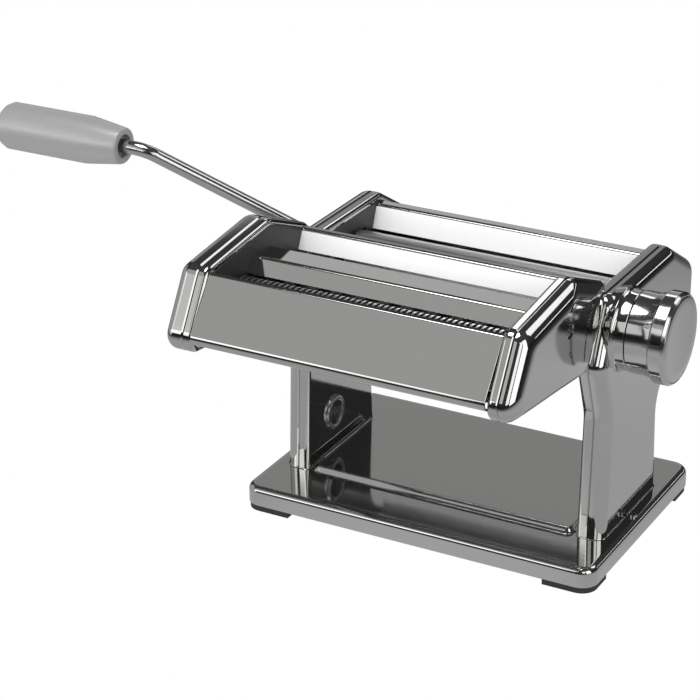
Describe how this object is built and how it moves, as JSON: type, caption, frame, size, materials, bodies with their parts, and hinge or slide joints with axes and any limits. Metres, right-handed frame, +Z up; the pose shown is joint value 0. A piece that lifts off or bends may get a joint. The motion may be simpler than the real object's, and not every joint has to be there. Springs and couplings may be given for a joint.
{
  "type": "pasta roller machine",
  "caption": "Hand-cranked pasta machine in chromed steel, with smooth sheet rollers, a cutter unit in front, a numbered thickness knob and a removable crank.",
  "frame": {"origin": "On the table, under the middle of the base.", "axes": "+X points to the thickness knob, -Y to the front where the cutters are, +Z up."},
  "size_m": [0.3944, 0.2226, 0.1813],
  "materials": {
    "chromed_sheet": "polished chrome plate on steel sheet",
    "steel": "bright plated steel",
    "roller_aluminium": "satin anodised aluminium",
    "black_nylon": "moulded black nylon",
    "foot_rubber": "black rubber",
    "knob_plastic": "silver plated plastic",
    "grip_plastic": "satin silver-grey plastic"
  },
  "bodies": {
    "frame": {"base_plate": "chromed_sheet", "left_frame_plate": "chromed_sheet", "right_frame_plate": "chromed_sheet", "left_side_cover": "chromed_sheet", "right_side_cover": "chromed_sheet", "left_cutter_frame": "chromed_sheet", "right_cutter_frame": "chromed_sheet", "left_cutter_cover": "chromed_sheet", "right_cutter_cover": "chromed_sheet", "cutter_front_panel": "chromed_sheet", "cutter_feed_panel": "chromed_sheet", "middle_guide": "chromed_sheet", "rear_feed_panel": "chromed_sheet", "clamp_socket": "chromed_sheet", "left_cutter_bracket": "chromed_sheet", "right_cutter_bracket": "chromed_sheet", "leg_screws": "steel", "cover_tab_screws": "steel", "cover_screws": "steel", "guide_rod": "steel", "frame_tie_rods": "steel", "frame_tie_nuts": "steel", "cutter_tie_rods": "steel", "cutter_tie_nuts": "steel", "front_scraper": "black_nylon", "rear_scraper": "black_nylon", "roller_bushes": "black_nylon", "dial_bushes": "black_nylon", "cutter_bushes": "black_nylon", "rubber_feet": "foot_rubber"},
    "drive_roller_set": {"drive_roller": "roller_aluminium", "drive_gear": "steel"},
    "crank": {"crank_rod": "steel"},
    "grip": {"crank_grip": "grip_plastic"},
    "dial": {"dial_shaft": "steel", "knob_stop": "steel", "left_cam": "steel", "right_cam": "steel", "knob_spring": "steel"},
    "knob": {"thickness_knob": "knob_plastic", "knob_cap": "chromed_sheet", "index_pin": "steel"},
    "roller_carriage": {"left_roller_block": "black_nylon", "right_roller_block": "black_nylon"},
    "driven_roller_set": {"driven_roller": "roller_aluminium", "driven_gear": "steel"},
    "narrow_drive_set": {"narrow_drive_cutter": "roller_aluminium", "narrow_drive_gear": "steel"},
    "narrow_driven_set": {"narrow_driven_cutter": "roller_aluminium", "narrow_driven_gear": "steel"},
    "wide_drive_set": {"wide_drive_cutter": "roller_aluminium", "wide_drive_gear": "steel"},
    "wide_driven_set": {"wide_driven_cutter": "roller_aluminium", "wide_driven_gear": "steel"}
  },
  "joints": [
    {"name": "sheeter_drive", "type": "hinge", "parent": "frame", "child": "drive_roller_set", "pos_m": [0, 0.05, 0.1055], "axis": [1, 0, 0], "continuous": true},
    {"name": "crank_pull", "type": "slide", "parent": "drive_roller_set", "child": "crank", "axis": [-1, 0, 0], "range_m": [0, 0.04]},
    {"name": "grip_spin", "type": "hinge", "parent": "crank", "child": "grip", "pos_m": [-0.23, -0.01579, 0.16837], "axis": [1, 0, 0], "continuous": true},
    {"name": "thickness_turn", "type": "hinge", "parent": "frame", "child": "dial", "pos_m": [0.1, -0.015, 0.122], "axis": [1, 0, 0], "range_deg": [-210, 60]},
    {"name": "knob_pull", "type": "slide", "parent": "dial", "child": "knob", "axis": [1, 0, 0], "range_m": [0, 0.003], "stiffness_N_per_m": 900},
    {"name": "roller_gap", "type": "slide", "parent": "frame", "child": "roller_carriage", "axis": [0, 1, 0], "range_m": [-0.00338, 0.00097]},
    {"name": "driven_roller_turn", "type": "hinge", "parent": "roller_carriage", "child": "driven_roller_set", "pos_m": [0, 0.01563, 0.1145], "axis": [1, 0, 0], "continuous": true},
    {"name": "narrow_cutter_drive", "type": "hinge", "parent": "frame", "child": "narrow_drive_set", "pos_m": [0, -0.121, 0.1385], "axis": [1, 0, 0], "continuous": true},
    {"name": "narrow_cutter_follow", "type": "hinge", "parent": "frame", "child": "narrow_driven_set", "pos_m": [0, -0.1025, 0.1385], "axis": [1, 0, 0], "continuous": true},
    {"name": "wide_cutter_drive", "type": "hinge", "parent": "frame", "child": "wide_drive_set", "pos_m": [0, -0.0575, 0.134], "axis": [1, 0, 0], "continuous": true},
    {"name": "wide_cutter_follow", "type": "hinge", "parent": "frame", "child": "wide_driven_set", "pos_m": [0, -0.076, 0.134], "axis": [1, 0, 0], "continuous": true}
  ],
  "couplings": [
    {"joint": "thickness_turn", "follows": "roller_gap", "rad_per_m": 1083.3},
    {"joint": "driven_roller_turn", "follows": "sheeter_drive", "ratio": -1},
    {"joint": "narrow_cutter_follow", "follows": "narrow_cutter_drive", "ratio": -1},
    {"joint": "wide_cutter_follow", "follows": "wide_cutter_drive", "ratio": -1}
  ]
}
